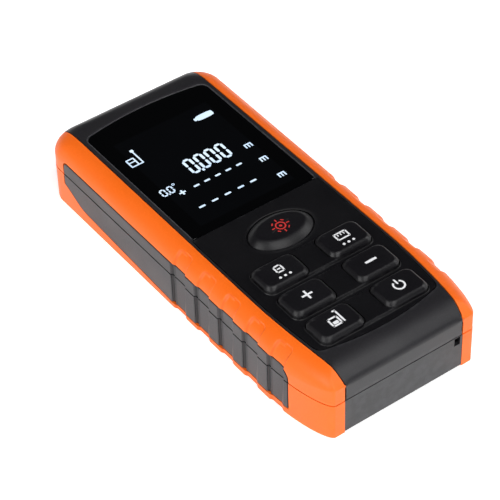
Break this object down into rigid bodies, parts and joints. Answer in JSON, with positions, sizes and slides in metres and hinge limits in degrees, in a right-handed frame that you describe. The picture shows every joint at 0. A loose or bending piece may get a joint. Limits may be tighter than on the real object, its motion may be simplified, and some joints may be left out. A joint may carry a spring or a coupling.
{
  "type": "laser distance meter",
  "caption": "Hand-held laser distance meter with soft ribbed edge grips, a glossy display window, rubber keys and a battery door in its back.",
  "frame": {"origin": "middle of the footprint, on the underside that the meter lies on", "axes": "+Z out of the screen, +Y towards the laser end, +X to the right of the keypad as it is read"},
  "size_m": [0.052, 0.118, 0.0216],
  "materials": {
    "case_plastic": "fine satin grain",
    "grip_rubber": "soft matt overmould",
    "keypad_rubber": "matt silicone",
    "gloss_window": "polished",
    "lcd_glass": "dark polished",
    "light_guide": "frosted",
    "moulded_black": "matt",
    "ribbon_amber": "satin film",
    "board_green": "satin mask",
    "contact_steel": "bright",
    "cell_sleeve": "satin sleeve",
    "screw_steel": "bright",
    "laser_brass": "turned",
    "lens_glass": "coated",
    "cast_metal": "as cast"
  },
  "bodies": {
    "case": {"back_shell": "case_plastic", "backlight_guide": "light_guide", "battery_cell_left": "cell_sleeve", "battery_cell_right": "cell_sleeve", "battery_spring_left": "contact_steel", "battery_spring_right": "contact_steel", "board_screw_left": "screw_steel", "board_screw_near": "screw_steel", "board_screw_right": "screw_steel", "buzzer": "moulded_black", "case_screw_far_left": "screw_steel", "case_screw_far_right": "screw_steel", "case_screw_near_left": "screw_steel", "case_screw_near_right": "screw_steel", "collimator_lens": "lens_glass", "contact_bridge": "contact_steel", "contact_negative": "contact_steel", "contact_positive": "contact_steel", "controller_chip": "moulded_black", "display_ribbon": "ribbon_amber", "display_window": "gloss_window", "dome_clear": "contact_steel", "dome_laser": "contact_steel", "dome_menu": "contact_steel", "dome_minus": "contact_steel", "dome_plus": "contact_steel", "dome_reference": "contact_steel", "dome_units": "contact_steel", "emitter_window": "lens_glass", "front_bezel": "gloss_window", "front_shell": "case_plastic", "grip_back_left": "grip_rubber", "grip_back_right": "grip_rubber", "grip_front_left": "grip_rubber", "grip_front_right": "grip_rubber", "keypad_mat": "keypad_rubber", "laser_tube": "laser_brass", "lcd_frame": "moulded_black", "lcd_panel": "lcd_glass", "main_board": "board_green", "optics_block": "cast_metal", "optics_screw_left": "screw_steel", "optics_screw_right": "screw_steel", "receiver_board": "board_green", "receiver_lens": "lens_glass", "receiver_sensor": "cast_metal", "tilt_sensor": "moulded_black"},
    "key_clear": {"key_clear": "keypad_rubber"},
    "key_laser": {"key_laser": "keypad_rubber"},
    "key_menu": {"key_menu": "keypad_rubber"},
    "key_minus": {"key_minus": "keypad_rubber"},
    "key_plus": {"key_plus": "keypad_rubber"},
    "key_reference": {"key_reference": "keypad_rubber"},
    "key_units": {"key_units": "keypad_rubber"},
    "battery_cover": {"battery_cover": "case_plastic"}
  },
  "joints": [
    {"name": "key_clear_press", "type": "slide", "parent": "case", "child": "key_clear", "axis": [0, 0, -1], "range_m": [0, 0.0006], "stiffness_N_per_m": 600},
    {"name": "key_laser_press", "type": "slide", "parent": "case", "child": "key_laser", "axis": [0, 0, -1], "range_m": [0, 0.0006], "stiffness_N_per_m": 600},
    {"name": "key_menu_press", "type": "slide", "parent": "case", "child": "key_menu", "axis": [0, 0, -1], "range_m": [0, 0.0006], "stiffness_N_per_m": 600},
    {"name": "key_minus_press", "type": "slide", "parent": "case", "child": "key_minus", "axis": [0, 0, -1], "range_m": [0, 0.0006], "stiffness_N_per_m": 600},
    {"name": "key_plus_press", "type": "slide", "parent": "case", "child": "key_plus", "axis": [0, 0, -1], "range_m": [0, 0.0006], "stiffness_N_per_m": 600},
    {"name": "key_reference_press", "type": "slide", "parent": "case", "child": "key_reference", "axis": [0, 0, -1], "range_m": [0, 0.0006], "stiffness_N_per_m": 600},
    {"name": "key_units_press", "type": "slide", "parent": "case", "child": "key_units", "axis": [0, 0, -1], "range_m": [0, 0.0006], "stiffness_N_per_m": 600},
    {"name": "battery_cover_swing", "type": "hinge", "parent": "case", "child": "battery_cover", "pos_m": [0, -0.0018, 0], "axis": [1, 0, 0], "range_deg": [0, 60]}
  ]
}
